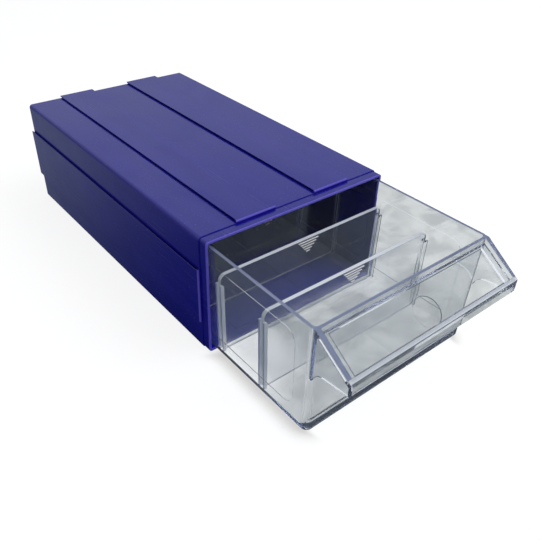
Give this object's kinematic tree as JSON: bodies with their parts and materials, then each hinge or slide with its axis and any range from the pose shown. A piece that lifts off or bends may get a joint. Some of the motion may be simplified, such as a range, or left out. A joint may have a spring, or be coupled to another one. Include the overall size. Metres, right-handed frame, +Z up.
{
  "type": "stackable drawer box",
  "caption": "Interlocking moulded case with dovetail rails and an open-topped clear drawer with removable dividers, a slanted label hood and a finger hole",
  "frame": {"origin": "bottom centre of the whole object's box, with the drawer open as in the picture", "axes": "+Z up, -Y the way the drawer opens, +X to the right of someone who faces the drawer"},
  "size_m": [0.1414, 0.3558, 0.0825],
  "materials": {
    "case_plastic": "gloss blue-violet moulded plastic",
    "clear_plastic": "clear polished polystyrene",
    "clear_divider": "clear polished polystyrene"
  },
  "bodies": {
    "case": {"case": "case_plastic"},
    "drawer": {"drawer": "clear_plastic"},
    "divider_front": {"divider_front": "clear_divider"},
    "divider_middle": {"divider_middle": "clear_divider"},
    "divider_rear": {"divider_rear": "clear_divider"}
  },
  "joints": [
    {"name": "drawer_slide", "type": "slide", "parent": "case", "child": "drawer", "axis": [0, -1, 0], "range_m": [-0.092, 0.089]},
    {"name": "divider_front_lift", "type": "slide", "parent": "drawer", "child": "divider_front", "axis": [0, 0, 1], "range_m": [0, 0.016]},
    {"name": "divider_middle_lift", "type": "slide", "parent": "drawer", "child": "divider_middle", "axis": [0, 0, 1], "range_m": [0, 0.016]},
    {"name": "divider_rear_lift", "type": "slide", "parent": "drawer", "child": "divider_rear", "axis": [0, 0, 1], "range_m": [0, 0.016]}
  ]
}
